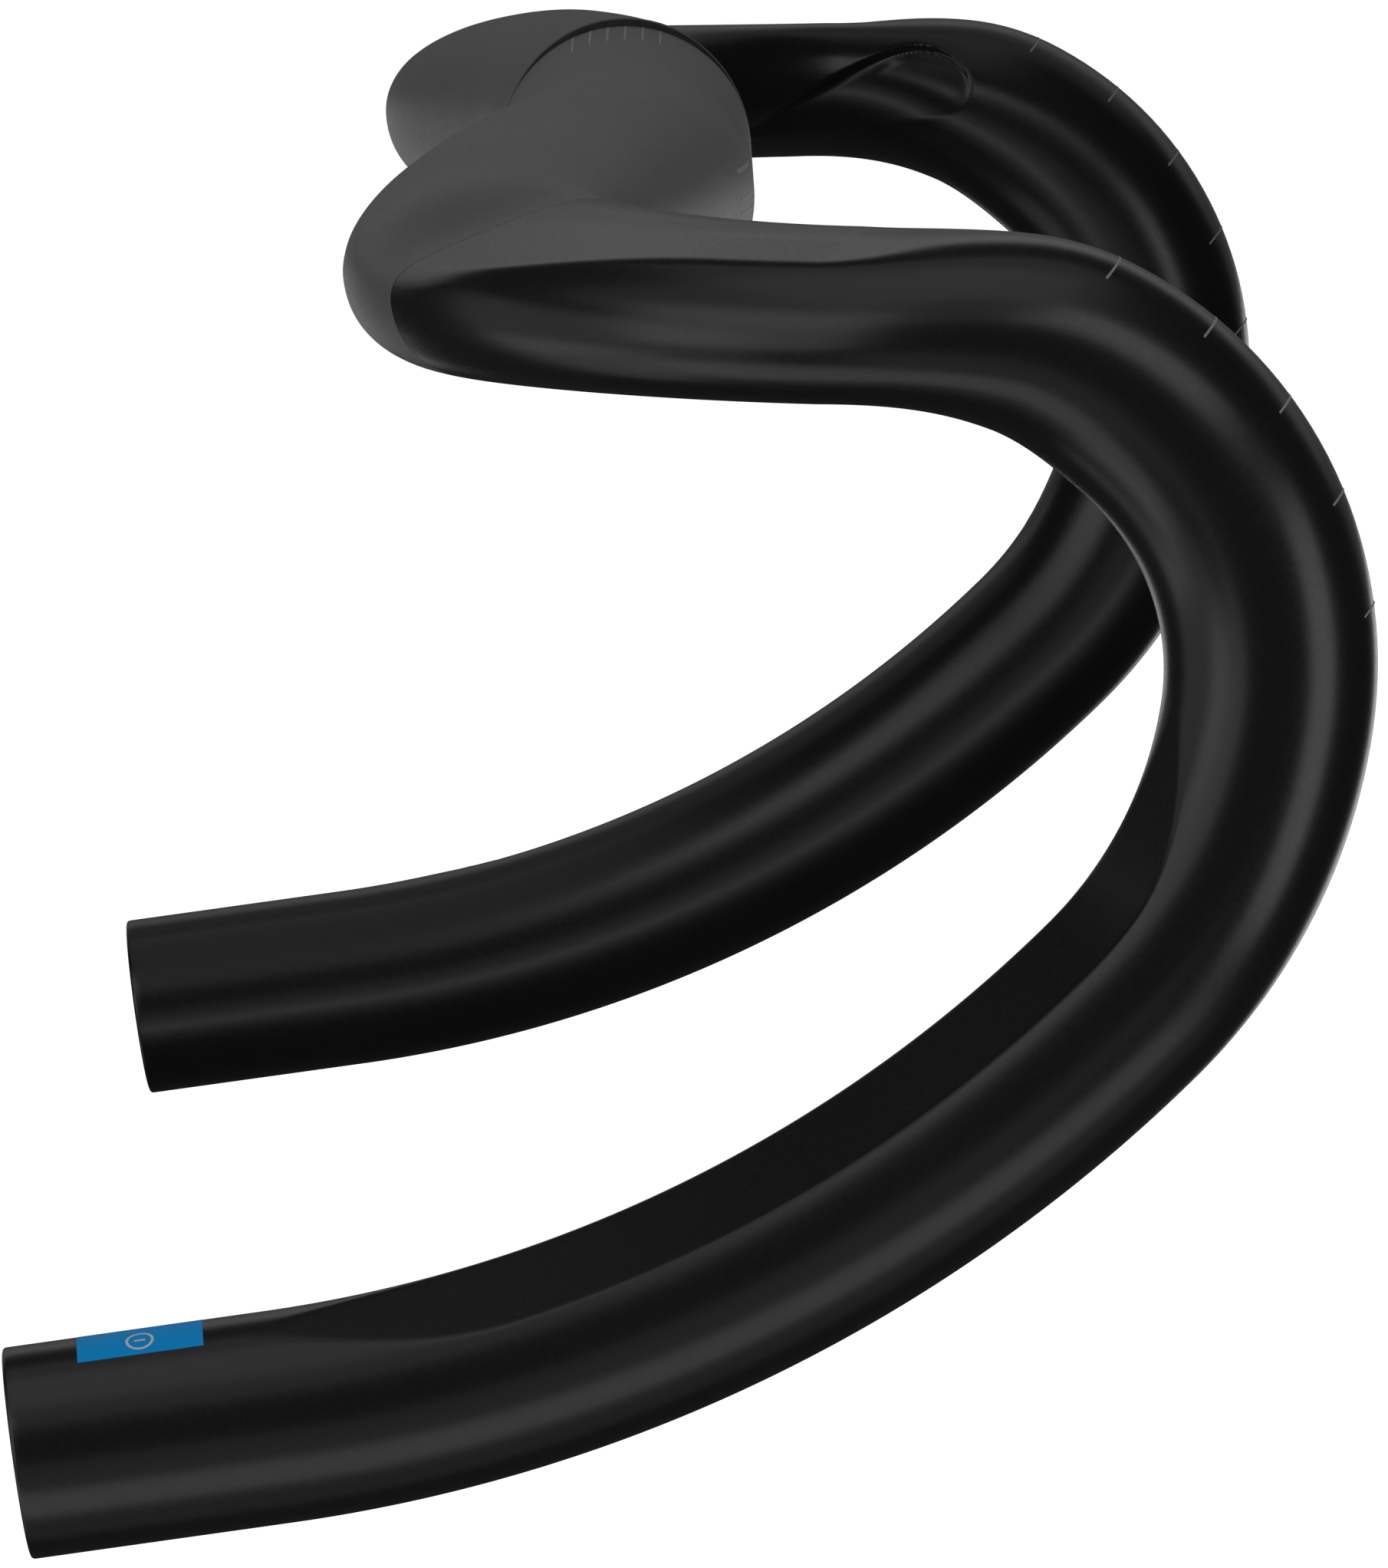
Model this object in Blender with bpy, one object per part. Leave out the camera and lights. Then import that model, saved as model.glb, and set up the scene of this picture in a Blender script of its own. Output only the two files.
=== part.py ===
"""Drop handlebar for a racing bicycle: a round clamp tube, two flat-topped wings and two hooked drops.

X points to the rider's right, Y forwards and Z up. The clamp's axis is the X axis, and its middle is the
origin. Lengths are millimetres and angles are degrees; MM turns lengths into metres.
"""

import math

import bmesh
import bpy
import numpy as np
from mathutils import Vector
from mathutils.bvhtree import BVHTree

MM = 0.001
GAP = 0.3
ACROSS = np.array([1.0, 0.0, 0.0])

# Clamp tube, with a narrower spigot at each end that the wings are bonded over
CLAMP_RADIUS = 15.9
CLAMP_HALF = 42.5
CLAMP_BORE = 11.4
SPIGOT_RADIUS = 13.4
SPIGOT_LENGTH = 14.0
CLAMP_SIDES = 48
CLAMP_BEVEL = 0.4

# Wing: x, shift of the middle to the rear, half chord, height of the top, depth of the underside
WING_STATIONS = (
    (42.8, 0.0, 15.9, 16.9, 15.9),
    (50.0, 0.2, 15.9, 16.1, 15.6),
    (60.0, 1.2, 16.2, 15.9, 15.2),
    (72.0, 3.0, 16.3, 15.7, 14.3),
    (86.0, 5.6, 16.8, 15.3, 13.4),
    (100.0, 8.4, 17.2, 14.7, 12.9),
    (114.0, 11.2, 17.4, 13.6, 12.7),
    (128.0, 13.7, 17.3, 12.3, 12.6),
    (140.0, 15.3, 16.7, 11.1, 12.3),
    (150.0, 16.0, 16.1, 10.2, 12.1),
)
ROOT_SQUARENESS = 2.0
WING_SQUARENESS = 2.15
SQUARE_FROM_STATION = 3
CAVITY_FROM_STATION = 3
WING_LEAN = 9.0
WING_LEAN_X = (55.0, 150.0)
WING_WALL = 2.2
BORE_DEPTH = 15.2

# Corner between wing and ramp: a plain arc when seen from above
CORNER_RADIUS = 60.0
JOINT_ANGLE = 22.0
RAMP_BLEND_ANGLE = 70.0
WING_CORNER_ANGLES = (5.0, 10.0, 16.0, JOINT_ANGLE)
DROP_CORNER_ANGLES = (28.0, 34.0, 42.0, 50.0, 57.0, 64.0)

# Ramp: half width, height above and depth below its middle, outward lean, and the middle's height
RAMP_HALF_WIDTH = 14.5
RAMP_TOP = 9.8
RAMP_BOTTOM = 8.4
RAMP_LEAN = 26.0
RAMP_SQUARENESS = 2.1
RAMP_Z = -1.65

# Hook and drop seen from the side: where bending starts, then (radius, turn) arcs, then a straight end
HOOK_START_Y = 24.3
HOOK_ARCS = ((78.0, 15.2), (38.0, 83.5), (56.0, 36.7), (168.0, 36.6))
END_LENGTH = 29.5
FLARE = 3.3
LEVER_RADIUS = 12.3
DROP_RADIUS = 11.95
DROP_WALL = 2.0
ROUND_BY = 38.0
TOP_ROUND_BY = 28.0
CHORD_SAG = 0.12

# Deck: the flattened top of corner and ramp. Its plane lies at a level above a section's middle, tilted
# outwards, and is pressed in with a crisp crease along its outboard edge and a soft one along the inboard edge
DECK_LEVELS = (6.45, 7.7)
DECK_CLEAR_LEVEL = 17.0
DECK_ANGLES = (-12.0, 22.0)
DECK_LENGTHS = (0.0, 35.0)
DECK_TILTS = (20.0, 13.0)
DECK_TILT_ANGLES = (22.0, 60.0)
DECK_CREASE_SOFTNESS = (4.0, 0.6)
DECK_CREASE_ANGLES = (20.0, 38.0)
DECK_INNER_SOFTNESS = 5.0
DECK_INNER_AT = (-8.0, 4.0)

# Palm facet on the inside of hook and drop; lengths run along the tube from the start of the hook
FACET_ANGLE = -62.0
FACET_HALF_ANGLE = 34.0
FACET_SIDES = 4
ROUND_SIDES = 20
FACET_START = (75.0, 105.0)
FACET_END = (190.0, 222.0)

# Sleeve bonded inside wing and drop across their joint
SLEEVE_REACH_ANGLE = 12.0
SLEEVE_WALL = 1.8

# Cable recess in the ramp's inboard side: (y, z of its lower edge, z of its upper edge)
RECESS_STATIONS = (
    (13.5, -8.0, -7.4),
    (17.0, -8.0, -5.4),
    (20.5, -7.8, -3.5),
    (24.0, -7.5, -1.5),
    (28.0, -7.0, 0.7),
    (32.0, -6.5, 2.7),
    (36.0, -6.1, 4.1),
    (39.5, -5.7, 4.5),
    (42.5, -5.2, 3.9),
    (45.0, -4.2, 2.3),
    (46.6, -2.4, 0.2),
)
RECESS_MOUTH_X = 180.0
RECESS_DEPTH = 2.2
RECESS_EDGE_DEPTH = 0.5
RECESS_RUN_OUT = 9.0
RECESS_RUN_ON = 3.0
RECESS_BACKING = 4.0
BACKING_RISES_Y = (-2.0, 10.0)
BACKING_FALLS_Y = (48.0, 56.0)

# Label let into the right drop near its end
LABEL_FROM_END = 8.5
LABEL_LENGTH = 14.2
LABEL_HALF_ANGLE = 33.0
LABEL_RADII = (11.7, 11.95)
POCKET_RADII = (11.45, 14.0)
POCKET_MARGIN = 0.2
LABEL_SIDES = 8


def clear_scene():
    for obj in list(bpy.data.objects):
        bpy.data.objects.remove(obj, do_unlink=True)


def material(name, colour, roughness, metallic=0.0):
    made = bpy.data.materials.new(name)
    made.use_nodes = True
    shader = made.node_tree.nodes["Principled BSDF"]
    shader.inputs["Base Color"].default_value = (*colour, 1.0)
    shader.inputs["Roughness"].default_value = roughness
    shader.inputs["Metallic"].default_value = metallic
    made.diffuse_color = (*colour, 1.0)
    return made


def smooth_step(low, high, value):
    share = min(max((value - low) / (high - low), 0.0), 1.0)
    return share * share * (3.0 - 2.0 * share)


def unit(vector):
    return vector / np.linalg.norm(vector)


def blend(first, second, share):
    return first + share * (second - first)


def section_angles():
    """Angles round a section: the facet's sides first, then the rest."""
    start = FACET_ANGLE - FACET_HALF_ANGLE
    end = FACET_ANGLE + FACET_HALF_ANGLE
    facet = [blend(start, end, i / FACET_SIDES) for i in range(FACET_SIDES)]
    rest = [blend(end, start + 360.0, i / ROUND_SIDES) for i in range(ROUND_SIDES)]
    return [math.radians(angle) for angle in facet + rest]


def frame(middle, heading, half_width, top, bottom, lean=0.0, square=2.0, flat=0.0, deck=None):
    """A section: where it stands, its axes and its sizes; deck holds level, tilt and crease softness."""
    if abs(heading[0]) > 0.9999:
        out = np.array([0.0, -1.0, 0.0])
    else:
        out = unit(ACROSS - ACROSS.dot(heading) * heading)
    return {
        "middle": middle,
        "out": out,
        "up": np.cross(out, heading),
        "half_width": half_width,
        "top": top,
        "bottom": bottom,
        "lean": lean,
        "square": square,
        "flat": flat,
        "deck": deck,
    }


def deck_at(angle, length):
    """The deck's level, tilt and crease softness, by angle round the corner and length along the hook."""
    fading = 1.0 - smooth_step(*DECK_LENGTHS, length)
    shown = smooth_step(*DECK_ANGLES, angle) * fading
    if shown == 0.0:
        return None
    along = smooth_step(*DECK_TILT_ANGLES, angle)
    level = blend(DECK_CLEAR_LEVEL, blend(*DECK_LEVELS, along), shown)
    crisp = smooth_step(*DECK_CREASE_ANGLES, angle) * fading
    return level, blend(*DECK_TILTS, along), blend(*DECK_CREASE_SOFTNESS, crisp)


def pressed_onto_deck(out, up, deck):
    level, tilt, crease = deck
    turn = math.radians(tilt)
    ahead = out * math.sin(turn) + up * math.cos(turn)
    aside = out * math.cos(turn) - up * math.sin(turn)
    softness = blend(DECK_INNER_SOFTNESS, crease, smooth_step(*DECK_INNER_AT, aside))
    over = ahead - level
    near = max(softness - abs(over), 0.0) / softness
    pressed = max(over, 0.0) + near * near * softness / 4.0
    return out - pressed * math.sin(turn), up - pressed * math.cos(turn)


def inner(outer, wall, backing=0.0):
    """The section of the cavity inside another: one wall smaller, and pushed outboard by any backing."""
    made = dict(outer)
    made["middle"] = outer["middle"] + backing / 2.0 * outer["out"]
    made["half_width"] = outer["half_width"] - wall - backing / 2.0
    made["top"] = outer["top"] - wall
    made["bottom"] = outer["bottom"] - wall
    if outer["deck"]:
        level, tilt, crease = outer["deck"]
        made["deck"] = (level - wall, tilt, crease)
    return made


def ring(shape):
    """Points round a section, with the facet pressed flat as far as the section says."""
    power = 2.0 / shape["square"]
    lean = math.radians(shape["lean"])
    flat_points = []
    for angle in section_angles():
        across, height = math.cos(angle), math.sin(angle)
        tall = shape["top"] if height > 0.0 else shape["bottom"]
        u = math.copysign(abs(across) ** power, across) * shape["half_width"]
        v = math.copysign(abs(height) ** power, height) * tall
        out = u * math.cos(lean) + v * math.sin(lean)
        up = v * math.cos(lean) - u * math.sin(lean)
        if shape["deck"]:
            out, up = pressed_onto_deck(out, up, shape["deck"])
        flat_points.append(np.array([out, up]))
    start, end = flat_points[0], flat_points[FACET_SIDES]
    for i in range(1, FACET_SIDES):
        chord = blend(start, end, i / FACET_SIDES)
        flat_points[i] = blend(flat_points[i], chord, shape["flat"])
    return [shape["middle"] + out * shape["out"] + up * shape["up"] for out, up in flat_points]


def circle(x, radius, sides=None):
    """Points round the clamp's axis; the section's own angles unless sides are given."""
    if sides is None:
        angles = section_angles()
    else:
        angles = [2.0 * math.pi * i / sides for i in range(sides)]
    return [np.array([x, -radius * math.cos(a), radius * math.sin(a)]) for a in angles]


def wing_frames():
    frames = []
    for i, (x, back, half_chord, top, bottom) in enumerate(WING_STATIONS):
        share = min(i / SQUARE_FROM_STATION, 1.0)
        square = blend(ROOT_SQUARENESS, WING_SQUARENESS, share)
        lean = WING_LEAN * smooth_step(*WING_LEAN_X, x)
        middle = np.array([x, -back, 0.0])
        deck = deck_at(math.degrees((x - WING_STATIONS[-1][0]) / CORNER_RADIUS), 0.0)
        frames.append(frame(middle, ACROSS, half_chord, top, bottom, lean=lean, square=square, deck=deck))
    return frames


def corner_frame(angle):
    """Section at an angle round the corner, blending from the wing's end to the ramp."""
    turn = math.radians(angle)
    x, back, half_chord, top, bottom = WING_STATIONS[-1]
    share = smooth_step(0.0, RAMP_BLEND_ANGLE, angle)
    middle = np.array(
        [
            x + CORNER_RADIUS * math.sin(turn),
            CORNER_RADIUS - back - CORNER_RADIUS * math.cos(turn),
            share * RAMP_Z,
        ]
    )
    return frame(
        middle,
        np.array([math.cos(turn), math.sin(turn), 0.0]),
        blend(half_chord, RAMP_HALF_WIDTH, share),
        blend(top, RAMP_TOP, share),
        blend(bottom, RAMP_BOTTOM, share),
        lean=blend(WING_LEAN, RAMP_LEAN, share),
        square=blend(WING_SQUARENESS, RAMP_SQUARENESS, share),
        deck=deck_at(angle, 0.0),
    )


def hook_path():
    """Side view of hook and drop: (length, y, z) from the start of the hook to the bar's end."""
    y, z, heading, length = HOOK_START_Y, RAMP_Z, 0.0, 0.0
    path = [(length, y, z)]
    for radius, turn in HOOK_ARCS:
        most = 2.0 * math.degrees(math.acos(1.0 - CHORD_SAG / radius))
        steps = math.ceil(turn / most)
        part = math.radians(turn) / steps
        chord = 2.0 * radius * math.sin(part / 2.0)
        for _ in range(steps):
            y += chord * math.cos(heading - part / 2.0)
            z += chord * math.sin(heading - part / 2.0)
            heading -= part
            length += radius * part
            path.append((length, y, z))
    for _ in range(2):
        y += END_LENGTH / 2.0 * math.cos(heading)
        z += END_LENGTH / 2.0 * math.sin(heading)
        length += END_LENGTH / 2.0
        path.append((length, y, z))
    return path


def hook_points():
    """The hook's centreline in space: the corner's arc carries x outwards, then the flare does."""
    corner_x = WING_STATIONS[-1][0]
    corner_y = CORNER_RADIUS - WING_STATIONS[-1][1]
    points = []
    past_corner = False
    for length, y, z in hook_path():
        past_corner = past_corner or y > corner_y
        short = 0.0 if past_corner else corner_y - y
        x = corner_x + math.sqrt(CORNER_RADIUS**2 - short**2)
        x += math.tan(math.radians(FLARE)) * (RAMP_Z - z)
        points.append((length, np.array([x, y, z])))
    return points


def hook_frames():
    points = hook_points()
    frames = []
    for i, (length, point) in enumerate(points):
        before = points[max(i - 1, 0)][1]
        after = points[min(i + 1, len(points) - 1)][1]
        rounding = smooth_step(0.0, ROUND_BY, length)
        top_rounding = smooth_step(0.0, TOP_ROUND_BY, length)
        radius = blend(LEVER_RADIUS, DROP_RADIUS, smooth_step(ROUND_BY, 2.0 * ROUND_BY, length))
        facet = smooth_step(*FACET_START, length) - smooth_step(*FACET_END, length)
        frames.append(
            frame(
                point,
                unit(after - before),
                blend(RAMP_HALF_WIDTH, radius, rounding),
                blend(RAMP_TOP, radius, top_rounding),
                blend(RAMP_BOTTOM, radius, rounding),
                lean=(1.0 - rounding) * RAMP_LEAN,
                square=blend(RAMP_SQUARENESS, 2.0, rounding),
                flat=facet,
                deck=deck_at(DECK_TILT_ANGLES[1], length),
            )
        )
    return frames


def mirrored(points, side):
    return [np.array([side * p[0], p[1], p[2]]) for p in points]


def finished(name, verts, faces, look, smooth_angle=35.0):
    """An object from points in millimetres, with its faces turned outwards."""
    mesh = bpy.data.meshes.new(name)
    mesh.from_pydata([tuple(MM * c for c in v) for v in verts], [], faces)
    shape = bmesh.new()
    shape.from_mesh(mesh)
    bmesh.ops.recalc_face_normals(shape, faces=shape.faces)
    shape.to_mesh(mesh)
    shape.free()
    obj = bpy.data.objects.new(name, mesh)
    bpy.context.scene.collection.objects.link(obj)
    mesh.materials.append(look)
    mesh.shade_smooth()
    mesh.set_sharp_from_angle(angle=math.radians(smooth_angle))
    return obj


def skin(rings, closed_loop):
    """Vertices and quads that join each ring to the next, and the last to the first in a closed loop."""
    sides = len(rings[0])
    verts = [point for one in rings for point in one]
    faces = []
    for i in range(len(rings) if closed_loop else len(rings) - 1):
        near = i * sides
        far = (i + 1) % len(rings) * sides
        for j in range(sides):
            k = (j + 1) % sides
            faces.append((near + j, near + k, far + k, far + j))
    return verts, faces


def tube(name, outer_rings, inner_rings, look):
    """A hollow body: outer skin, end ring, cavity wall and the other end ring."""
    verts, faces = skin(outer_rings + inner_rings[::-1], closed_loop=True)
    return finished(name, verts, faces, look)


def bevel(obj, width, angle=50.0):
    made = obj.modifiers.new("edge_break", "BEVEL")
    made.width = width * MM
    made.segments = 1
    made.limit_method = "ANGLE"
    made.angle_limit = math.radians(angle)


def cut(obj, cutter):
    """Cuts a hidden helper out of an object."""
    cutter.hide_render = True
    cutter.display_type = "WIRE"
    made = obj.modifiers.new("cut", "BOOLEAN")
    made.operation = "DIFFERENCE"
    made.solver = "EXACT"
    made.object = cutter


def settle(obj, smooth_angle=30.0):
    """Turns the cuts into plain mesh, so that their edges shade as sharp as they are."""
    graph = bpy.context.evaluated_depsgraph_get()
    mesh = bpy.data.meshes.new_from_object(obj.evaluated_get(graph))
    obj.modifiers.clear()
    obj.data = mesh
    mesh.shade_smooth()
    mesh.set_sharp_from_angle(angle=math.radians(smooth_angle))


def clamp_tube(look):
    end = CLAMP_HALF + SPIGOT_LENGTH
    outer = (
        (-end, SPIGOT_RADIUS),
        (-CLAMP_HALF, SPIGOT_RADIUS),
        (-CLAMP_HALF, CLAMP_RADIUS),
        (CLAMP_HALF, CLAMP_RADIUS),
        (CLAMP_HALF, SPIGOT_RADIUS),
        (end, SPIGOT_RADIUS),
    )
    outer_rings = [circle(x, radius, CLAMP_SIDES) for x, radius in outer]
    inner_rings = [circle(x, CLAMP_BORE, CLAMP_SIDES) for x in (-end, end)]
    obj = tube("clamp_tube", outer_rings, inner_rings, look)
    bevel(obj, CLAMP_BEVEL)
    return obj


def wing(name, side, look):
    frames = wing_frames()
    frames += [corner_frame(angle) for angle in WING_CORNER_ANGLES]
    root = WING_STATIONS[0][0]
    bore = SPIGOT_RADIUS + GAP
    inner_rings = [circle(root, bore), circle(root + BORE_DEPTH, bore)]
    inner_rings += [ring(inner(shape, WING_WALL)) for shape in frames[CAVITY_FROM_STATION:]]
    outer_rings = [ring(shape) for shape in frames]
    return tube(
        name,
        [mirrored(one, side) for one in outer_rings],
        [mirrored(one, side) for one in inner_rings],
        look,
    )


def joint_sleeve(name, side, look):
    angles = [JOINT_ANGLE + SLEEVE_REACH_ANGLE * step for step in (-1.0, -0.5, 0.0, 0.5, 1.0)]
    clearance = WING_WALL + GAP
    frames = [corner_frame(angle) for angle in angles]
    outer_rings = [ring(inner(shape, clearance)) for shape in frames]
    inner_rings = [ring(inner(shape, clearance + SLEEVE_WALL)) for shape in frames]
    return tube(
        name,
        [mirrored(one, side) for one in outer_rings],
        [mirrored(one, side) for one in inner_rings],
        look,
    )


def backing_at(y, past_hook):
    """How much the cavity is pushed outboard to leave material behind the cable recess."""
    if past_hook:
        return 0.0
    return RECESS_BACKING * smooth_step(*BACKING_RISES_Y, y) * (1.0 - smooth_step(*BACKING_FALLS_Y, y))


def drop_frames():
    start = JOINT_ANGLE + math.degrees(GAP / CORNER_RADIUS)
    return [corner_frame(angle) for angle in (start, *DROP_CORNER_ANGLES)] + hook_frames()


def drop(name, side, look):
    frames = drop_frames()
    front = int(np.argmax([shape["middle"][1] for shape in frames]))
    inner_rings = []
    for i, shape in enumerate(frames):
        backing = backing_at(shape["middle"][1], i > front)
        inner_rings.append(ring(inner(shape, DROP_WALL, backing)))
    outer_rings = [ring(shape) for shape in frames]
    return tube(
        name,
        [mirrored(one, side) for one in outer_rings],
        [mirrored(one, side) for one in inner_rings],
        look,
    )


def recess_cutter(name, side, look):
    """A wedge whose floor follows the ramp's inboard side, deepest under the upper edge."""
    tree = BVHTree.FromPolygons(*skin([ring(shape) for shape in drop_frames()], closed_loop=False))
    first, last = RECESS_STATIONS[0][0], RECESS_STATIONS[-1][0]
    rings = []
    for y, low, high in RECESS_STATIONS:
        sinking = smooth_step(first - RECESS_RUN_ON, first + RECESS_RUN_OUT, y)
        rising = smooth_step(last - RECESS_RUN_OUT, last + RECESS_RUN_ON, y)
        depths = (RECESS_EDGE_DEPTH, blend(RECESS_EDGE_DEPTH, RECESS_DEPTH, sinking * (1.0 - rising)))
        floor = []
        for z, depth in zip((low, high), depths):
            surface = tree.ray_cast(Vector((RECESS_MOUTH_X, y, z)), Vector(ACROSS))[0]
            floor.append(surface.x + depth)
        corners = ((RECESS_MOUTH_X, low), (floor[0], low), (floor[1], high), (RECESS_MOUTH_X, high))
        rings.append([np.array([side * x, y, z]) for x, z in corners])
    verts, faces = skin(rings, closed_loop=False)
    last_ring = len(verts) - 4
    faces += [(0, 1, 2, 3), tuple(last_ring + i for i in (3, 2, 1, 0))]
    return finished(name, verts, faces, look)


def label_patch(name, radii, margin, look):
    """A curved plate over the upper side of the right drop's straight end."""
    end = hook_frames()[-1]
    along = np.cross(end["up"], end["out"])
    half = math.radians(LABEL_HALF_ANGLE) + margin / DROP_RADIUS
    middle = math.radians(-90.0)
    angles = [middle + half * (2.0 * i / LABEL_SIDES - 1.0) for i in range(LABEL_SIDES + 1)]
    rings = []
    for back in (LABEL_FROM_END - margin, LABEL_FROM_END + LABEL_LENGTH + margin):
        spots = [(radii[1], a) for a in angles] + [(radii[0], a) for a in reversed(angles)]
        centre = end["middle"] - back * along
        rings.append(
            [centre + r * (math.cos(a) * end["out"] + math.sin(a) * end["up"]) for r, a in spots]
        )
    verts, faces = skin(rings, closed_loop=False)
    count = len(rings[0])
    faces += [tuple(range(count)), tuple(range(2 * count - 1, count - 1, -1))]
    return finished(name, verts, faces, look)


def build():
    clear_scene()
    grey = material("grey_matt_paint", (0.105, 0.105, 0.106), 0.55)
    black = material("black_satin_finish", (0.010, 0.010, 0.0102), 0.38)
    bare = material("bare_carbon_sleeve", (0.05, 0.05, 0.052), 0.55)
    blue = material("blue_label_film", (0.0, 0.19, 0.48), 0.35)
    helper = material("helper", (0.5, 0.5, 0.5), 0.5)
    clamp_tube(grey)
    for side, word in ((1.0, "right"), (-1.0, "left")):
        wing(f"wing_{word}", side, grey)
        joint_sleeve(f"joint_sleeve_{word}", side, bare)
        shell = drop(f"drop_{word}", side, black)
        cut(shell, recess_cutter(f"recess_cutter_{word}", side, helper))
        if side > 0.0:
            cut(shell, label_patch("label_pocket_cutter", POCKET_RADII, POCKET_MARGIN, helper))
        settle(shell)
    label_patch("label_right", LABEL_RADII, 0.0, blue)


build()
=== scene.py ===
"""Looks of the drop handlebar: smooth shells over the CAD pieces, printed marks, finishes, light and camera.

X points to the rider's right, Y forwards and Z up. Shapes are worked out in millimetres, angles in degrees.
MM turns lengths into metres, which lights, camera and finishes use as they are.
"""

import math

import bmesh
import bpy
import numpy as np
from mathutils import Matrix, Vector
from mathutils.bvhtree import BVHTree


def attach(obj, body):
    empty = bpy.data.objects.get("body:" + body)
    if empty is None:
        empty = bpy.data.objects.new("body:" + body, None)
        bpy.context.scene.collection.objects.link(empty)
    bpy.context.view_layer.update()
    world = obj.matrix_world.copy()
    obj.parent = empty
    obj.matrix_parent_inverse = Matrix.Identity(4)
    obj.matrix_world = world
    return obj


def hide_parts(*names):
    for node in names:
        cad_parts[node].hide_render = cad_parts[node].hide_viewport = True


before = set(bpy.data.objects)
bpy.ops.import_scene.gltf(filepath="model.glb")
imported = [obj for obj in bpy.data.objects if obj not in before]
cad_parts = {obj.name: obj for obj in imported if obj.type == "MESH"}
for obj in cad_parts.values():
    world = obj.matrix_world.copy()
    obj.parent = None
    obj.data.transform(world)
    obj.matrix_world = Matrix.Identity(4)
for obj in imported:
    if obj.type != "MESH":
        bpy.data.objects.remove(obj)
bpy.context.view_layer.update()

MM = 0.001
GAP = 0.3
ACROSS = np.array([1.0, 0.0, 0.0])
QUARTER_STEPS = (0.0, 30.0, 60.0, 90.0)

# Clamp tube
CLAMP_RADIUS = 15.9
CLAMP_HALF = 42.5
CLAMP_BORE = 11.4
SPIGOT_RADIUS = 13.4
SPIGOT_LENGTH = 14.0
CLAMP_EDGE_ROUND = 0.35

# Wing: x, shift of the middle to the rear, half chord, height of the top, depth of the underside
WING_STATIONS = np.array(
    (
        (42.6, 0.0, 15.9, 16.9, 15.9),
        (50.0, 0.2, 15.9, 16.1, 15.6),
        (60.0, 1.2, 16.2, 15.9, 15.2),
        (72.0, 3.0, 16.3, 15.7, 14.3),
        (86.0, 5.6, 16.8, 15.3, 13.4),
        (100.0, 8.4, 17.2, 14.7, 12.9),
        (114.0, 11.2, 17.4, 13.6, 12.7),
        (128.0, 13.7, 17.3, 12.3, 12.6),
        (140.0, 15.3, 16.7, 11.1, 12.3),
        (150.0, 16.0, 16.1, 10.2, 12.1),
    )
)
ROOT_SQUARENESS = 2.0
WING_SQUARENESS = 2.15
SQUARE_BY_X = 72.0
WING_LEAN = 9.0
WING_LEAN_X = (55.0, 150.0)
WING_WALL = 2.2
BORE_DEPTH = 15.2
CAVITY_FROM_STATION = 3
# Root face: how far it is drawn in at the spigot and at its rounded edge, and how far its edge stands out
ROOT_FACE_SHRINK = 1.6
ROOT_EDGE_SHRINK = 0.18
ROOT_EDGE_X = 0.2

# Corner, ramp, hook and drop
CORNER_RADIUS = 60.0
CORNER_X = 150.0
CORNER_Y = 44.0
JOINT_ANGLE = 22.0
JOINT_LINE = 0.06
RAMP_BLEND_ANGLE = 70.0
RAMP_HALF_WIDTH = 14.5
RAMP_TOP = 9.8
RAMP_BOTTOM = 8.4
RAMP_LEAN = 26.0
RAMP_SQUARENESS = 2.1
RAMP_Z = -1.65
HOOK_START_Y = 24.3
HOOK_START_ANGLE = math.degrees(math.acos((CORNER_Y - HOOK_START_Y) / CORNER_RADIUS))
HOOK_ARCS = ((78.0, 15.2), (38.0, 83.5), (56.0, 36.7), (168.0, 36.6))
END_LENGTH = 29.5
FLARE = 3.3
LEVER_RADIUS = 12.3
DROP_RADIUS = 11.95
DROP_WALL = 2.0
ROUND_BY = 38.0
TOP_ROUND_BY = 28.0
PAST_CORNER_LENGTH = 40.0
HEADING_STEP = 0.2
END_ROUND = 0.45
BORE_CHAMFER = 0.3

# Deck: the flattened top of corner and ramp, tilted outwards, with a crease along its outboard edge
DECK_LEVELS = (6.45, 7.7)
DECK_CLEAR_LEVEL = 17.0
DECK_ANGLES = (-12.0, 22.0)
DECK_LENGTHS = (0.0, 35.0)
DECK_TILTS = (20.0, 13.0)
DECK_TILT_ANGLES = (22.0, 60.0)
DECK_CREASE_SOFTNESS = (4.0, 0.6)
DECK_CREASE_ANGLES = (20.0, 38.0)
DECK_INNER_SOFTNESS = 5.0
DECK_INNER_AT = (-8.0, 4.0)
NO_DECK = (DECK_CLEAR_LEVEL, 0.0, 1.0)

# Palm facet
FACET_ANGLE = -62.0
FACET_HALF_ANGLE = 34.0
FACET_START = (75.0, 105.0)
FACET_END = (190.0, 222.0)
FACET_SOFTNESS = 0.12

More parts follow.
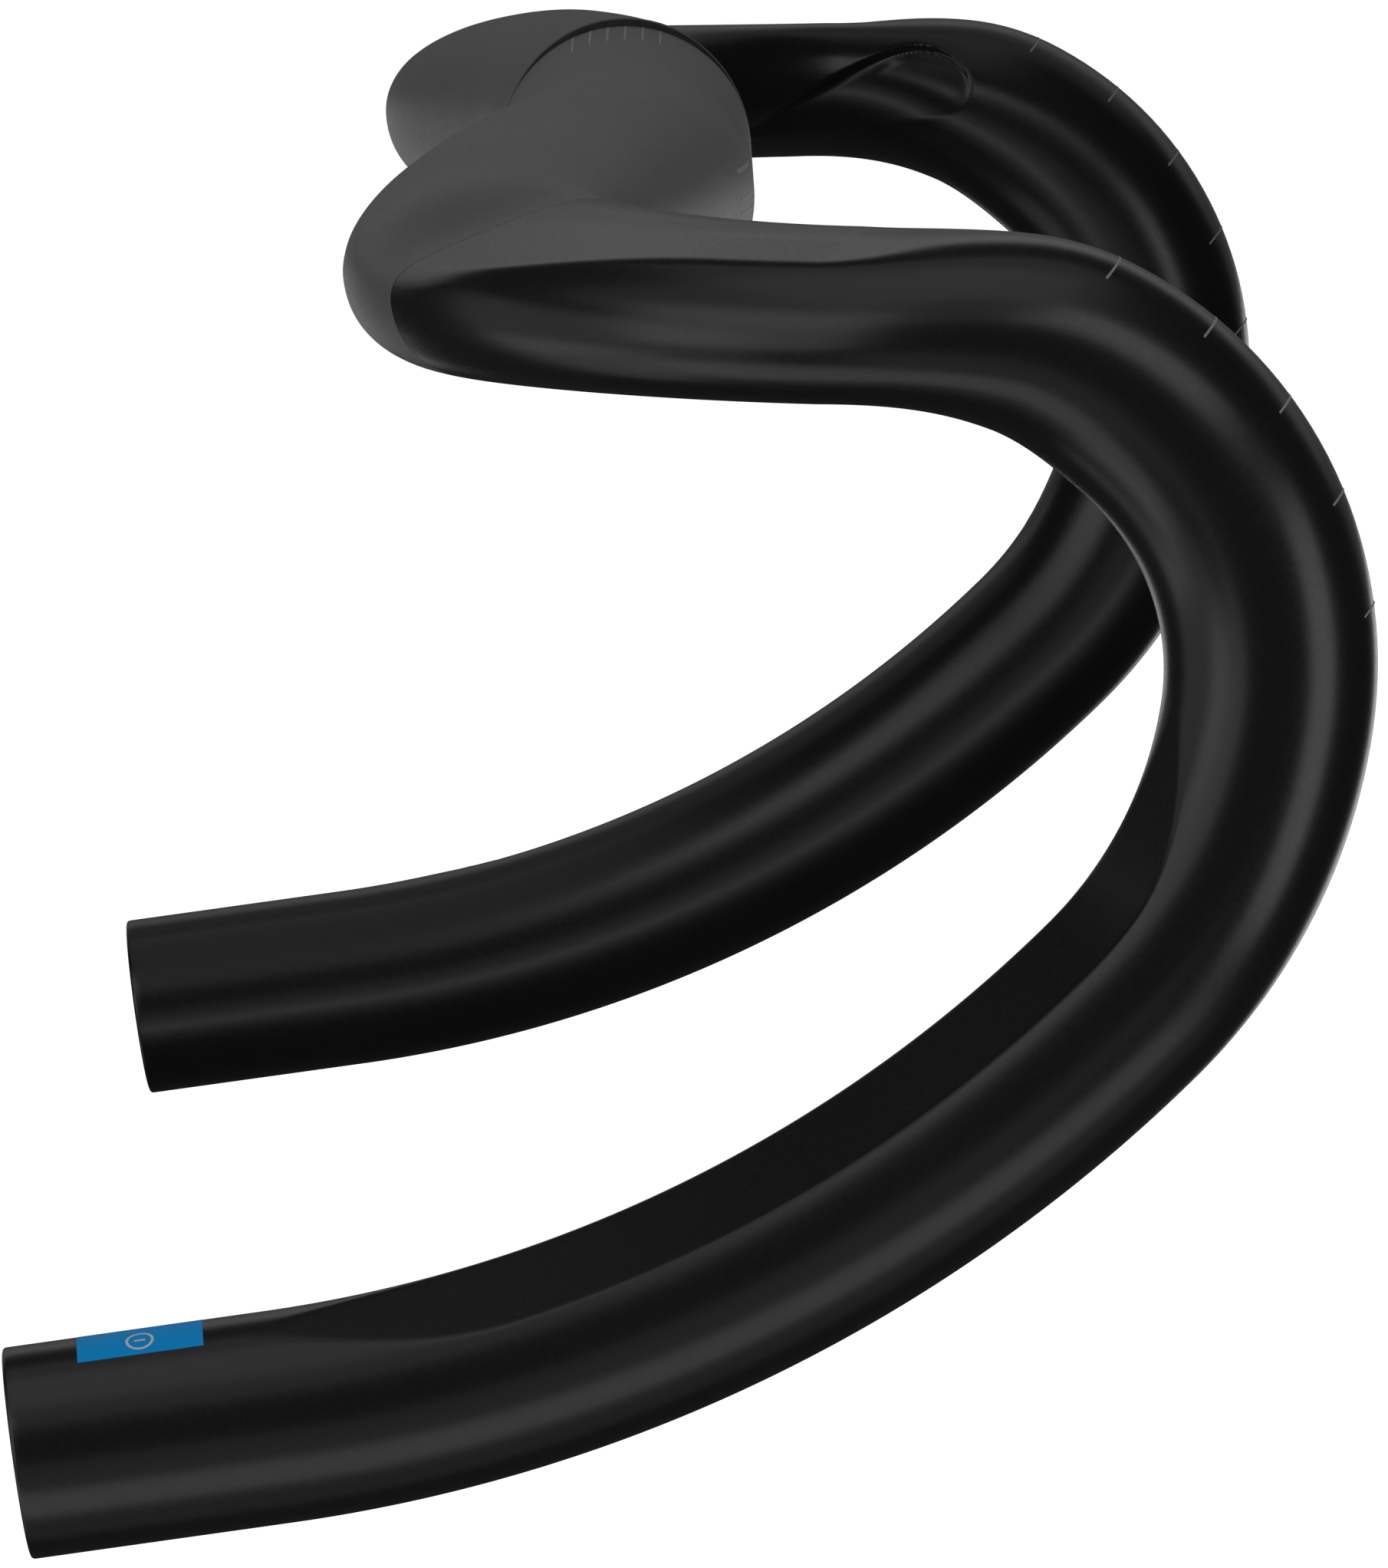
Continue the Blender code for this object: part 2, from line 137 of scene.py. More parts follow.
# Cable recess in the ramp's inboard side: (y, z of its lower edge, z of its upper edge)
RECESS = np.array(
    (
        (13.5, -8.0, -7.4),
        (17.0, -8.0, -5.4),
        (20.5, -7.8, -3.5),
        (24.0, -7.5, -1.5),
        (28.0, -7.0, 0.7),
        (32.0, -6.5, 2.7),
        (36.0, -6.1, 4.1),
        (39.5, -5.7, 4.5),
        (42.5, -5.2, 3.9),
        (45.0, -4.2, 2.3),
        (46.6, -2.4, 0.2),
    )
)
RECESS_DEPTH = 2.2
RECESS_END_DEPTH = 0.9
RECESS_LIP = 1.2
RECESS_INBOARD_BY = 2.0
RECESS_RUN_ON = 2.0
RECESS_RUN_OUT = 9.0
RECESS_RISE_LENGTH = 14.0
RECESS_FLOOR_REACH = 1.35
RECESS_FLOOR_CURVE = 0.9
RECESS_LEAST_HEIGHT = 0.5
RECESS_BACKING = 4.0
BACKING_RISES_Y = (-2.0, 10.0)
BACKING_FALLS_Y = (48.0, 56.0)
SLOPE_STEP = 0.2

# Printed marks, each a strip that stands a little out of the surface and reaches a little into it
PRINT_LIFT = 0.04
PRINT_DEPTH = 0.1
TICK_WIDTH = 0.28
CLAMP_TICK_Y = (-6.6, -4.4, -2.2, 0.0, 2.2, 4.4)
CLAMP_TICK_X = (-40.5, -12.5)
CLAMP_TICK_STEPS = 5
LEVER_TICKS = ((54.5, 3.1), (65.5, -3.3), (74.0, -11.7), (79.9, -22.1), (83.5, -34.5))
LEVER_TICK_SLOPE = 46.0
LEVER_TICK_HALF_ANGLE = 31.0
LEVER_TICK_STEPS = 25
LEVER_TICK_LENGTH_ALONG = 40.0
LABEL_FROM_END = 8.5
LABEL_LENGTH = 14.2
LABEL_HALF_ANGLE = 33.0
LABEL_RADII = (11.7, 11.97)
LABEL_STEPS = (41, 25)
MARK_WIDTH = 0.3
MARK_STEPS = 48
MARK_BAR_STEPS = 5
MARK_ANGLE = 20.0
MARK_RING = (1.45, 1.75)
MARK_BAR_LENGTH = 1.3
WING_DASH_X = (50.0, 66.0)
WING_DASH_Z = (4.6, 1.2, -0.6, -2.4, -4.2)
WING_DASH_WIDTH = 0.55
WING_DASH_STEPS = 14
WING_FRONT_X = 90.0
WING_FRONT_STEPS = 60
AHEAD_OF_WING_Y = 60.0

# How finely the shells are drawn: points round a section, then (from, to, count) spans of sections
ROUND_STEPS = 192
WING_RINGS = ((43.0, 62.0, 20), (63.5, 148.5, 58))
WING_CORNER_RINGS = 18
DROP_CORNER_RINGS = (28, 48)
HOOK_FINE_RINGS = (0.0, 25.0, 72)
HOOK_REST_FROM = 26.5
HOOK_REST_RINGS = 150
CAVITY_EVERY = 4
CORNER_CAVITY_EVERY = 3
SHARP_ANGLE = 40.0

# Finishes: dark and light tone, lowest and highest roughness, grain scale and grain height
GREY_FINISH = ((0.09, 0.09, 0.091), (0.131, 0.131, 0.132), 0.42, 0.50, 3200.0, 0.00002)
BLACK_FINISH = ((0.006, 0.006, 0.006), (0.011, 0.011, 0.0112), 0.25, 0.29, 3600.0, 0.000003)
CLOUD_SCALE = 28.0
CLOUD_TONE = (-0.1, 0.3)
GRAIN_TONE = 0.6
GRAIN_BUMP = 0.35
SPECK_PER_GRAIN = 0.38

# Bare carbon weave
WEAVE_TURNS = (45.0, -45.0)
WEAVE_SCALE = 150.0
WEAVE_DISTORTION = 0.6
WEAVE_TONES = ((0.006, 0.006, 0.0065), (0.03, 0.03, 0.031))
WEAVE_ROUGHNESS = (0.6, 0.38)
WEAVE_HEIGHT = 0.0001
WEAVE_BUMP = 0.5

# Inks and label film: dark and light tone
GREY_INK = ((0.26, 0.26, 0.26), (0.34, 0.34, 0.34))
WHITE_INK = ((0.72, 0.72, 0.72), (0.8, 0.8, 0.8))
INK_SCALE = 2600.0
INK_ROUGHNESS = (0.45, 0.6)
FILM_TONES = ((0.0, 0.32, 0.8), (0.002, 0.37, 0.9))
FILM_SCALE = 1800.0
FILM_ROUGHNESS = (0.5, 0.6)
FILM_SPECULAR = 0.15

# Floor and backdrop
FLOOR_Z = -0.3
FLOOR_HALF = 30.0
FLOOR_TONES = ((0.86, 0.86, 0.86), (0.9, 0.9, 0.9))
FLOOR_TONE_SCALE = 3.0
FLOOR_ROUGHNESS = 0.9
FLOOR_GLOW = 1.0
BACKDROP = 1.05

# Studio, far cards: azimuth from +X towards +Y, elevation, width and height in degrees, and radiance
FAR_DISTANCE = 3.0
FAR_CENTRE_Z = -0.05
FAR_CARDS = {
    "left_low": (275.0, -40.0, 35.0, 40.0, 0.5),
    "left_high": (315.0, 15.0, 40.0, 50.0, 0.8),
    "back_low_right": (155.0, -10.0, 20.0, 20.0, 1.25),
    "back_low_left": (200.0, -10.0, 20.0, 20.0, 0.8),
    "back_level": (180.0, 10.0, 100.0, 20.0, 0.1),
    "back_high": (180.0, 30.0, 100.0, 20.0, 0.3),
    "overhead": (0.0, 80.0, 60.0, 60.0, 0.3),
}
# Near cards: middle in metres, turn about X and Y in degrees, size along the card's own axes, and radiance
NEAR_CARDS = {
    "under_near": ((0.5, -0.05, -0.45), (180.0, 0.0), (0.3, 1.1), 0.9),
    "under_middle": ((0.25, -0.05, -0.45), (180.0, 0.0), (0.2, 1.1), 0.15),
    "over_near": ((0.6, -0.2, 0.35), (0.0, 0.0), (0.8, 0.8), 0.3),
    "over_near_front": ((0.75, 0.35, 0.35), (0.0, 0.0), (0.5, 0.3), 1.5),
    "over_far": ((-0.45, -0.05, 0.35), (0.0, 0.0), (0.3, 1.1), 0.15),
    "side_low": ((0.8, 0.0, -0.35), (0.0, 90.0), (0.3, 0.6), 0.25),
    "front_near": ((0.6, 0.6, -0.1), (-90.0, 0.0), (0.4, 0.6), 1.5),
    "rear_near": ((0.4, -0.6, -0.1), (90.0, 0.0), (0.8, 0.6), 0.4),
}
SURROUND = 0.025

# Camera: nearly square to the bar's side and a little above it
CAMERA_AZIMUTH = 89.93
CAMERA_ELEVATION = 5.85
CAMERA_AIM = (0.0, 0.0086, -0.076)
CAMERA_DISTANCE = 2.11
CAMERA_LENS = 389.6


def smooth_step(low, high, value):
    share = np.clip((value - low) / (high - low), 0.0, 1.0)
    return share * share * (3.0 - 2.0 * share)


def blend(first, second, share):
    return first + share * (second - first)


def unit(vector):
    return vector / np.linalg.norm(vector)


def curve_through(table, x):
    """Smooth values at x of a table whose first column is x."""
    xs = table[:, 0]
    slopes = np.gradient(table[:, 1:], xs, axis=0)
    i = int(np.clip(np.searchsorted(xs, x) - 1, 0, len(xs) - 2))
    width = xs[i + 1] - xs[i]
    t = np.clip((x - xs[i]) / width, 0.0, 1.0)
    start = (1.0 + 2.0 * t) * (1.0 - t) ** 2
    start_slope = t * (1.0 - t) ** 2
    end_slope = t * t * (t - 1.0)
    first, second = table[i, 1:], table[i + 1, 1:]
    run = width * (start_slope * slopes[i] + end_slope * slopes[i + 1])
    return start * first + (1.0 - start) * second + run


def station(middle, heading, half_width, top, bottom, lean, square, flat=0.0, deck=NO_DECK):
    """A section: where it stands, its axes and its sizes; deck holds its level, tilt and crease softness."""
    if abs(heading[0]) > 0.999999:
        out = np.array([0.0, -1.0, 0.0])
    else:
        out = unit(ACROSS - ACROSS.dot(heading) * heading)
    return {
        "middle": middle,
        "heading": heading,
        "out": out,
        "up": np.cross(out, heading),
        "half_width": half_width,
        "top": top,
        "bottom": bottom,
        "lean": lean,
        "square": square,
        "flat": flat,
        "deck": deck,
    }


def deck_at(angle, length):
    """The deck's level, tilt and crease softness, by angle round the corner or length along the hook."""
    shown = smooth_step(*DECK_ANGLES, angle) * (1.0 - smooth_step(*DECK_LENGTHS, length))
    along = smooth_step(*DECK_TILT_ANGLES, angle)
    level = blend(DECK_CLEAR_LEVEL, blend(*DECK_LEVELS, along), shown)
    tilt = blend(*DECK_TILTS, along)
    crisp = smooth_step(*DECK_CREASE_ANGLES, angle) * (1.0 - smooth_step(*DECK_LENGTHS, length))
    return level, tilt, blend(*DECK_CREASE_SOFTNESS, crisp)


def pressed_onto_deck(out, up, shape, shrink):
    """Presses the points of a section down onto the deck's plane."""
    level, tilt, crease = shape["deck"]
    turn = math.radians(tilt)
    ahead = out * math.sin(turn) + up * math.cos(turn)
    aside = out * math.cos(turn) - up * math.sin(turn)
    softness = blend(DECK_INNER_SOFTNESS, crease, smooth_step(*DECK_INNER_AT, aside))
    over = ahead - (level - shrink)
    near = np.maximum(softness - np.abs(over), 0.0) / softness
    pressed = np.maximum(over, 0.0) + near * near * softness / 4.0
    return out - pressed * math.sin(turn), up - pressed * math.cos(turn)


def ring(shape, shrink=0.0, back=0.0, backing=0.0, steps=ROUND_STEPS):
    """Points round a section, drawn in by shrink and moved along the tube by back."""
    angles = np.linspace(0.0, 2.0 * math.pi, steps, endpoint=False)
    across, height = np.cos(angles), np.sin(angles)
    power = 2.0 / shape["square"]
    tall = np.where(height > 0.0, shape["top"] - shrink, shape["bottom"] - shrink)
    wide = shape["half_width"] - shrink - backing / 2.0
    u = np.sign(across) * np.abs(across) ** power * wide
    v = np.sign(height) * np.abs(height) ** power * tall
    lean = math.radians(shape["lean"])
    out = u * math.cos(lean) + v * math.sin(lean)
    up = v * math.cos(lean) - u * math.sin(lean)
    if shape["deck"][0] < DECK_CLEAR_LEVEL:
        out, up = pressed_onto_deck(out, up, shape, shrink)
    if shape["flat"] > 0.0:
        facing = math.radians(FACET_ANGLE)
        ahead = out * math.cos(facing) + up * math.sin(facing)
        radius = shape["half_width"] - shrink
        level = radius * (1.0 - shape["flat"] * (1.0 - math.cos(math.radians(FACET_HALF_ANGLE))))
        over = ahead - level
        pressed = 0.5 * (over + np.sqrt(over * over + FACET_SOFTNESS**2)) - 0.5 * FACET_SOFTNESS
        pressed = np.maximum(pressed, 0.0)
        out = out - pressed * math.cos(facing)
        up = up - pressed * math.sin(facing)
    middle = shape["middle"] + backing / 2.0 * shape["out"] - back * shape["heading"]
    return middle + out[:, None] * shape["out"] + up[:, None] * shape["up"]


def wing_station(x):
    back, half_chord, top, bottom = curve_through(WING_STATIONS, x)
    square = blend(ROOT_SQUARENESS, WING_SQUARENESS, smooth_step(WING_STATIONS[0, 0], SQUARE_BY_X, x))
    lean = WING_LEAN * smooth_step(*WING_LEAN_X, x)
    deck = deck_at(math.degrees((x - CORNER_X) / CORNER_RADIUS), DECK_LENGTHS[0])
    return station(np.array([x, -back, 0.0]), ACROSS, half_chord, top, bottom, lean, square, deck=deck)


def corner_station(angle):
    turn = math.radians(angle)
    half_chord, top, bottom = WING_STATIONS[-1, 2:]
    share = smooth_step(0.0, RAMP_BLEND_ANGLE, angle)
    middle = np.array(
        [
            CORNER_X + CORNER_RADIUS * math.sin(turn),
            CORNER_Y - CORNER_RADIUS * math.cos(turn),
            share * RAMP_Z,
        ]
    )
    return station(
        middle,
        np.array([math.cos(turn), math.sin(turn), 0.0]),
        blend(half_chord, RAMP_HALF_WIDTH, share),
        blend(top, RAMP_TOP, share),
        blend(bottom, RAMP_BOTTOM, share),
        blend(WING_LEAN, RAMP_LEAN, share),
        blend(WING_SQUARENESS, RAMP_SQUARENESS, share),
        deck=deck_at(angle, 0.0),
    )


def hook_length():
    return sum(radius * math.radians(turn) for radius, turn in HOOK_ARCS) + END_LENGTH


def hook_point(length):
    """The hook's centreline: arcs seen from the side, carried outwards by the corner and by the flare."""
    y, z, heading, left = HOOK_START_Y, RAMP_Z, 0.0, length
    for radius, turn in HOOK_ARCS:
        part = min(max(left / radius, 0.0), math.radians(turn))
        y += radius * (math.sin(heading + part) - math.sin(heading))
        z -= radius * (math.cos(heading) - math.cos(heading + part))
        heading += part
        left -= part * radius
    y += left * math.cos(heading)
    z -= left * math.sin(heading)
    past_corner = length > PAST_CORNER_LENGTH or y > CORNER_Y
    short = 0.0 if past_corner else CORNER_Y - y
    x = CORNER_X + math.sqrt(CORNER_RADIUS**2 - short**2)
    x += math.tan(math.radians(FLARE)) * (RAMP_Z - z)
    return np.array([x, y, z])


def hook_station(length):
    heading = unit(hook_point(length + HEADING_STEP) - hook_point(length - HEADING_STEP))
    rounding = smooth_step(0.0, ROUND_BY, length)
    radius = blend(LEVER_RADIUS, DROP_RADIUS, smooth_step(ROUND_BY, 2.0 * ROUND_BY, length))
    return station(
        hook_point(length),
        heading,
        blend(RAMP_HALF_WIDTH, radius, rounding),
        blend(RAMP_TOP, radius, smooth_step(0.0, TOP_ROUND_BY, length)),
        blend(RAMP_BOTTOM, radius, rounding),
        (1.0 - rounding) * RAMP_LEAN,
        blend(RAMP_SQUARENESS, 2.0, rounding),
        flat=smooth_step(*FACET_START, length) - smooth_step(*FACET_END, length),
        deck=deck_at(HOOK_START_ANGLE, length),
    )


def pressed_in(points, middle):
    """Moves points on the ramp's inboard side outwards, where the cable recess is."""
    moved = points.copy()
    first, last = RECESS[0, 0], RECESS[-1, 0]
    for i, (x, y, z) in enumerate(points):
        if not first < y < last or x > middle[0] - RECESS_INBOARD_BY:
            continue
        low, high = curve_through(RECESS, y)
        if not low < z < high:
            continue
        rise = curve_through(RECESS, y + SLOPE_STEP)[1] - curve_through(RECESS, y - SLOPE_STEP)[1]
        to_lip = (high - z) / math.hypot(1.0, rise / (2.0 * SLOPE_STEP))
        sinking = smooth_step(first - RECESS_RUN_ON, first + RECESS_RUN_OUT, y)
        rising = smooth_step(last - RECESS_RISE_LENGTH, last, y)
        deepest = blend(RECESS_DEPTH, RECESS_END_DEPTH, rising) * sinking
        share = (z - low) / max(high - low, RECESS_LEAST_HEIGHT)
        lip = smooth_step(0.0, RECESS_LIP, to_lip) * smooth_step(0.0, RECESS_LIP, last - y)
        moved[i, 0] += deepest * min(1.0, RECESS_FLOOR_REACH * share) ** RECESS_FLOOR_CURVE * lip
    return moved


def mesh_object(name, verts, faces, looks, face_looks=None):
    """An object from points in millimetres, faces turned outwards and shaded smooth."""
    mesh = bpy.data.meshes.new(name)
    mesh.from_pydata([tuple(v) for v in np.asarray(verts) * MM], [], faces)
    for look in looks:
        mesh.materials.append(look)
    if face_looks is not None:
        mesh.polygons.foreach_set("material_index", face_looks)
    shape = bmesh.new()
    shape.from_mesh(mesh)
    bmesh.ops.recalc_face_normals(shape, faces=shape.faces)
    shape.to_mesh(mesh)
    shape.free()
    mesh.shade_smooth()
    mesh.set_sharp_from_angle(angle=math.radians(SHARP_ANGLE))
    obj = bpy.data.objects.new(name, mesh)
    bpy.context.scene.collection.objects.link(obj)
    return obj


def loop_skin(rings, closed_loop=True):
    """Vertices and quads that join each ring to the next, and the last to the first in a closed loop."""
    sides = len(rings[0])
    verts = np.concatenate(rings)
    faces = []
    for i in range(len(rings) if closed_loop else len(rings) - 1):
        near, far = i * sides, (i + 1) % len(rings) * sides
        for j in range(sides):
            k = (j + 1) % sides
            faces.append((near + j, near + k, far + k, far + j))
    return verts, faces


def rounded_end(shape):
    """Rings that turn the drop's outer skin into its end face round a small radius."""
    rings = []
    for angle in QUARTER_STEPS:
        shrink = END_ROUND * (1.0 - math.cos(math.radians(angle)))
        back = END_ROUND * (1.0 - math.sin(math.radians(angle)))
        rings.append(ring(shape, shrink=shrink, back=back))
    return rings


def shell(name, outer, inner, side, looks, plain_rings=0):
    """A hollow body from its outer rings and its cavity's rings.

    The cavity's faces, and those of the first plain_rings outer rings, take the second look.
    """
    rings = [one * np.array([side, 1.0, 1.0]) for one in outer + inner[::-1]]
    verts, faces = loop_skin(rings)
    sides = len(rings[0])
    outside = len(outer) * sides
    kinds = [0 if i < outside - sides else 1 for i in range(len(faces))]
    kinds[: plain_rings * sides] = [1] * (plain_rings * sides)
    return mesh_object(name, verts, faces, looks, kinds)


def clamp_shell(looks):
    def turned(x, radius):
        angles = np.linspace(0.0, 2.0 * math.pi, 2 * ROUND_STEPS, endpoint=False)
        return np.stack([np.full_like(angles, x), -radius * np.cos(angles), radius * np.sin(angles)], axis=1)

    end = CLAMP_HALF + SPIGOT_LENGTH
    half = [(end, SPIGOT_RADIUS), (CLAMP_HALF, SPIGOT_RADIUS)]
    for angle in QUARTER_STEPS:
        x = CLAMP_HALF - CLAMP_EDGE_ROUND * (1.0 - math.cos(math.radians(angle)))
        radius = CLAMP_RADIUS - CLAMP_EDGE_ROUND * (1.0 - math.sin(math.radians(angle)))
        half.append((x, radius))
    profile = [(-x, radius) for x, radius in half] + half[::-1]
    outer = [turned(x, radius) for x, radius in profile]
    inner = [turned(x, CLAMP_BORE) for x in (-end, end)]
    return shell("clamp_tube_shell", outer, inner, 1.0, looks)


def bore_station(x):
    """The round bore that a wing has over the clamp tube's spigot."""
    radius = SPIGOT_RADIUS + GAP
    return station(np.array([x, 0.0, 0.0]), ACROSS, radius, radius, radius, 0.0, 2.0)


def wing_shell(name, side, looks):
    root = wing_station(WING_STATIONS[0, 0])
    end_angle = JOINT_ANGLE - math.degrees(JOINT_LINE / CORNER_RADIUS)
    corner = [corner_station(angle) for angle in np.linspace(0.0, end_angle, WING_CORNER_RINGS)]
    outer = [ring(root, shrink=shrink) for shrink in (ROOT_FACE_SHRINK, ROOT_EDGE_SHRINK)]
    outer.append(ring(root, back=-ROOT_EDGE_X))
    for span in WING_RINGS:
        outer += [ring(wing_station(x)) for x in np.linspace(*span)]
    outer += [ring(one) for one in corner]
    inner = [ring(bore_station(WING_STATIONS[0, 0] + depth)) for depth in (0.0, BORE_DEPTH)]
    inner += [ring(wing_station(x), shrink=WING_WALL) for x in WING_STATIONS[CAVITY_FROM_STATION:-1, 0]]
    inner += [ring(one, shrink=WING_WALL) for one in corner[::CORNER_CAVITY_EVERY] + [corner[-1]]]
    return shell(name, outer, inner, side, looks, plain_rings=1)


def backing_at(y):
    """Extra material behind the cable recess."""
    return RECESS_BACKING * smooth_step(*BACKING_RISES_Y, y) * (1.0 - smooth_step(*BACKING_FALLS_Y, y))


def drop_stations():
    """Sections from the joint with the wing to the bar's end, closest together along the cable recess."""
    start_angle = JOINT_ANGLE + math.degrees(JOINT_LINE / CORNER_RADIUS)
    recess_angle = math.degrees(math.acos((CORNER_Y - RECESS[0, 0] + RECESS_RUN_ON) / CORNER_RADIUS))
    plain, recessed = DROP_CORNER_RINGS
    angles = [
        *np.linspace(start_angle, recess_angle, plain),
        *np.linspace(recess_angle, HOOK_START_ANGLE, recessed)[1:-1],
    ]
    lengths = [
        *np.linspace(*HOOK_FINE_RINGS),
        *np.linspace(HOOK_REST_FROM, hook_length(), HOOK_REST_RINGS),
    ]
    return [corner_station(a) for a in angles] + [hook_station(s) for s in lengths]


def drop_shell(name, side, looks):
    stations = drop_stations()
    past = int(np.argmax([one["middle"][1] for one in stations]))
    outer = [pressed_in(ring(one), one["middle"]) for one in stations[:past]]
    outer += [ring(one) for one in stations[past:-1]]
    outer += rounded_end(stations[-1])
    inner = []
    for i in range(0, len(stations) - 1, CAVITY_EVERY):
        backing = backing_at(stations[i]["middle"][1]) if i < past else 0.0
        inner.append(ring(stations[i], shrink=DROP_WALL, backing=backing))
    inner.append(ring(stations[-1], shrink=DROP_WALL, back=BORE_CHAMFER))
    inner.append(ring(stations[-1], shrink=DROP_WALL - BORE_CHAMFER))
    return shell(name, outer, inner, side, looks)


def ribbon(name, spots, ups, sides_of, look, width=TICK_WIDTH, closed_loop=False):
    """A thin closed strip along points on a surface; ups are the surface's normals there."""
    rings = []
    for spot, up, beside in zip(spots, ups, sides_of):
        left, right = spot - 0.5 * width * beside, spot + 0.5 * width * beside
        rings.append(
            np.array(
                [
                    left + PRINT_LIFT * up,
                    right + PRINT_LIFT * up,
                    right - PRINT_DEPTH * up,
                    left - PRINT_DEPTH * up,
                ]
            )
        )
    verts, faces = loop_skin(rings, closed_loop)
    if not closed_loop:
        last = len(verts) - 4
        faces += [(3, 2, 1, 0), (last, last + 1, last + 2, last + 3)]
    return mesh_object(name, verts, faces, [look])


def clamp_ticks(look):
    """Strips along the top of the clamp tube, left of its middle."""
    made = []
    for i, y in enumerate(CLAMP_TICK_Y):
        up = np.array([0.0, y, math.sqrt(CLAMP_RADIUS**2 - y * y)]) / CLAMP_RADIUS
        beside = np.cross(up, ACROSS)
        spots = [CLAMP_RADIUS * up + x * ACROSS for x in np.linspace(*CLAMP_TICK_X, CLAMP_TICK_STEPS)]
        ups, besides = [up] * len(spots), [beside] * len(spots)
        made.append(ribbon(f"clamp_tick_{i + 1}", spots, ups, besides, look))
    return made


def lever_ticks(side, word, look):
    """Strips that cross the hook's outer face, all at the same slope when seen from the side."""
    skin = [ring(one) for one in drop_stations()]
    verts, faces = loop_skin(skin, closed_loop=False)
    tree = BVHTree.FromPolygons([tuple(v) for v in verts], faces)
    slope = math.radians(LEVER_TICK_SLOPE)
    inwards = np.array([0.0, -math.cos(slope), -math.sin(slope)])
    beside = np.array([0.0, math.sin(slope), -math.cos(slope)])
    flip = np.array([side, 1.0, 1.0])
    angles = np.radians(np.linspace(-LEVER_TICK_HALF_ANGLE, LEVER_TICK_HALF_ANGLE, LEVER_TICK_STEPS))
    made = []
    for i, (y, z) in enumerate(LEVER_TICKS):
        crest = np.array([hook_point(LEVER_TICK_LENGTH_ALONG)[0], y, z])
        middle = crest + LEVER_RADIUS * inwards
        spots, ups = [], []
        for angle in angles:
            way = -math.cos(angle) * inwards + math.sin(angle) * ACROSS
            hit, normal, _, _ = tree.ray_cast(Vector(middle), Vector(way))
            normal = np.array(normal)
            spots.append(np.array(hit) * flip)
            ups.append(normal * np.sign(normal.dot(way)) * flip)
        made.append(ribbon(f"lever_tick_{word}_{i + 1}", spots, ups, [beside * flip] * len(spots), look))
    return made


def label_spot(along, angle, radius):
    """A point over the right drop's straight end, by distance from its end and angle round it."""
    end = hook_station(hook_length())
    centre = end["middle"] - along * end["heading"]
    return centre + radius * (math.cos(angle) * end["out"] + math.sin(angle) * end["up"])


def label_plate(look):
    """A curved plate over the upper side of the right drop's straight end."""
    half = math.radians(LABEL_HALF_ANGLE)
    angles = np.linspace(-half, half, LABEL_STEPS[0]) - math.pi / 2.0
    rings = []
    for back in np.linspace(LABEL_FROM_END, LABEL_FROM_END + LABEL_LENGTH, LABEL_STEPS[1]):
        top = [label_spot(back, a, LABEL_RADII[1]) for a in angles]
        rings.append(np.array(top + [label_spot(back, a, LABEL_RADII[0]) for a in angles[::-1]]))
    verts, faces = loop_skin(rings, closed_loop=False)
    count = len(rings[0])
    faces += [tuple(range(count)), tuple(range(len(verts) - 1, len(verts) - count - 1, -1))]
    return mesh_object("label_plate", verts, faces, [look])


def label_mark(look):
    """A plain ring with a bar in it, printed on the label."""
    end = hook_station(hook_length())
    middle_back = LABEL_FROM_END + LABEL_LENGTH / 2.0
    radius = LABEL_RADII[1]

    def spot(along, around):
        """Where a flat place on the mark lies on the label, and the label's normal there."""
        angle = math.radians(MARK_ANGLE - 90.0) + around / radius
        up = math.cos(angle) * end["out"] + math.sin(angle) * end["up"]
        return label_spot(middle_back + along, angle, radius), up

    centre, _ = spot(0.0, 0.0)
    spots, ups, besides = [], [], []
    for turn in np.linspace(0.0, 2.0 * math.pi, MARK_STEPS, endpoint=False):
        place, up = spot(MARK_RING[0] * math.cos(turn), MARK_RING[1] * math.sin(turn))
        outwards = place - centre
        spots.append(place)
        ups.append(up)
        besides.append(unit(outwards - outwards.dot(up) * up))
    ring_mark = ribbon("label_ring", spots, ups, besides, look, MARK_WIDTH, closed_loop=True)
    half = MARK_BAR_LENGTH / 2.0
    along_bar = [spot(along, 0.0) for along in np.linspace(-half, half, MARK_BAR_STEPS)]
    spots = [place for place, _ in along_bar]
    ups = [up for _, up in along_bar]
    across = np.cross(ups[0], end["heading"])
    bar_mark = ribbon("label_bar", spots, ups, [across] * MARK_BAR_STEPS, look, MARK_WIDTH)
    return [ring_mark, bar_mark]


def wing_dashes(look):
    """Short printed dashes on the front of the right wing, beside the clamp zone."""
    xs = np.linspace(WING_STATIONS[0, 0], WING_FRONT_X, WING_FRONT_STEPS)
    verts, faces = loop_skin([ring(wing_station(x)) for x in xs], closed_loop=False)
    tree = BVHTree.FromPolygons([tuple(v) for v in verts], faces)
    made = []
    for i, z in enumerate(WING_DASH_Z):
        spots, ups = [], []
        for x in np.linspace(*WING_DASH_X, WING_DASH_STEPS):
            hit, normal, _, _ = tree.ray_cast(Vector((x, AHEAD_OF_WING_Y, z)), Vector((0.0, -1.0, 0.0)))
            normal = np.array(normal)
            spots.append(np.array(hit))
            ups.append(normal * np.sign(normal[1]))
        besides = [unit(np.cross(up, ACROSS)) for up in ups]
        made.append(ribbon(f"wing_dash_{i + 1}", spots, ups, besides, look, WING_DASH_WIDTH))
    return made


def new_material(name):
    made = bpy.data.materials.new(name)
    made.use_nodes = True
    tree = made.node_tree
    return made, tree.nodes, tree.links, tree.nodes["Principled BSDF"]


